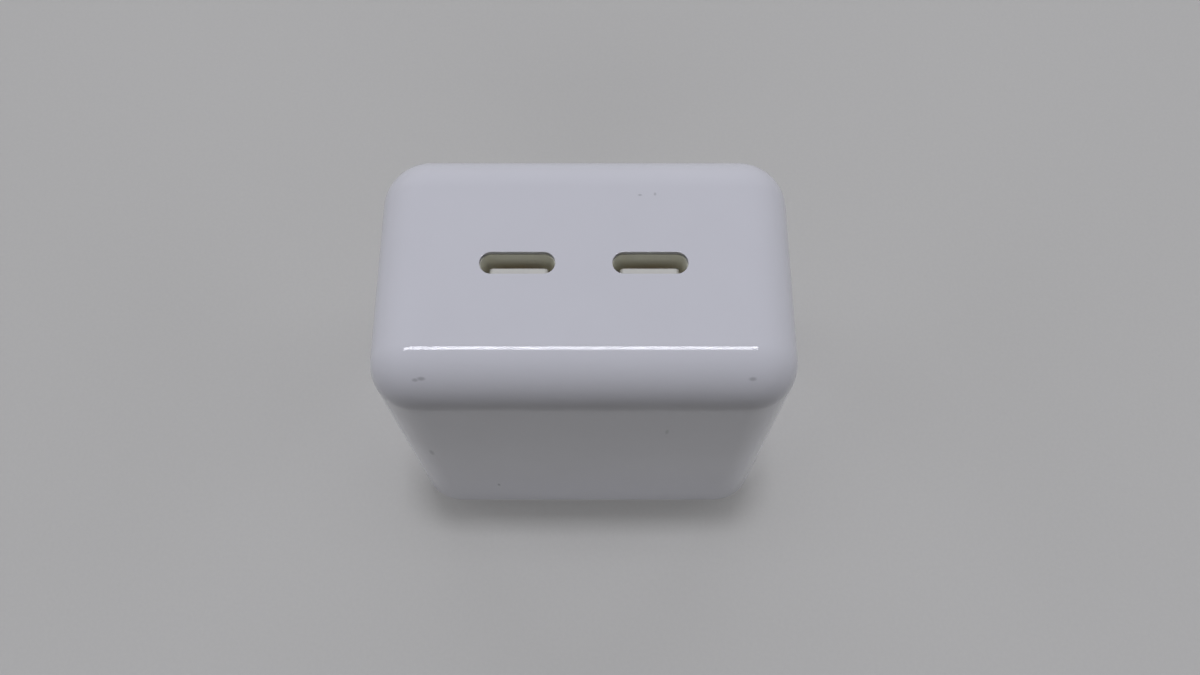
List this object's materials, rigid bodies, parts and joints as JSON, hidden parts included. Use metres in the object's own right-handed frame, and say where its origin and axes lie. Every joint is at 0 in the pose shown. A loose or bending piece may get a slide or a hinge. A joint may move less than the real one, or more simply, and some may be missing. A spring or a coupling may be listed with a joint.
{
  "type": "usb-c power adapter",
  "caption": "Rounded block-shaped wall power adapter with side-by-side USB-C ports in its end face and blades that fold flat into the opposite face.",
  "frame": {"origin": "centre of the wall face, the face that the adapter stands on, at z = 0", "axes": "+Z from the wall face to the port face; +X along the row of ports; -Y is the long side nearest the picture's viewer"},
  "size_m": [0.048, 0.031, 0.046],
  "materials": {
    "shell_plastic": "glossy moulded polycarbonate",
    "plate_plastic": "satin moulded polycarbonate",
    "rotor_plastic": "satin moulded polycarbonate",
    "inner_plastic": "matt moulded",
    "blade_metal": "nickel-plated brass",
    "spring_metal": "bright copper alloy strip",
    "detent_metal": "spring steel strip",
    "port_steel": "drawn stainless steel",
    "tongue_plastic": "moulded liquid-crystal polymer",
    "contact_gold": "gold-plated copper alloy",
    "board_laminate": "solder-masked glass laminate",
    "ferrite": "sintered ferrite",
    "bobbin_plastic": "moulded phenolic",
    "copper_wire": "enamelled copper wire",
    "can_sleeve": "aluminium can in a dark sleeve",
    "film_box": "moulded box",
    "fuse_ceramic": "glazed ceramic tube",
    "disc_coat": "dipped ceramic disc",
    "chip_mould": "moulded epoxy",
    "coil_mould": "pressed iron powder",
    "can_metal": "bare aluminium can"
  },
  "bodies": {
    "housing": {"housing_shell": "shell_plastic", "wall_plate": "plate_plastic", "plug_cover": "inner_plastic", "contact_spring_left": "spring_metal", "contact_spring_right": "spring_metal", "detent_spring": "detent_metal", "main_board": "board_laminate", "transformer_core": "ferrite", "transformer_bobbin": "bobbin_plastic", "transformer_winding": "copper_wire", "film_capacitor": "film_box", "choke_core": "ferrite", "choke_windings": "copper_wire", "fuse": "fuse_ceramic", "disc_capacitor": "disc_coat", "bridge_rectifier": "chip_mould", "primary_switch": "chip_mould", "output_rectifier": "chip_mould", "optocoupler": "chip_mould", "port_1_shell": "port_steel", "port_1_tongue": "tongue_plastic", "port_1_contacts": "contact_gold", "bulk_capacitor_1": "can_sleeve", "output_inductor_1": "coil_mould", "output_capacitor_1": "can_metal", "port_controller_1": "chip_mould", "port_2_shell": "port_steel", "port_2_tongue": "tongue_plastic", "port_2_contacts": "contact_gold", "bulk_capacitor_2": "can_sleeve", "output_inductor_2": "coil_mould", "output_capacitor_2": "can_metal", "port_controller_2": "chip_mould"},
    "plug": {"plug_rotor": "rotor_plastic", "blade_left": "blade_metal", "blade_right": "blade_metal"}
  },
  "joints": [
    {"name": "plug_fold", "type": "hinge", "parent": "housing", "child": "plug", "pos_m": [0.006, 0, 0.00352], "axis": [0, -1, 0], "range_deg": [0, 90], "deforming": ["detent_spring"]}
  ]
}
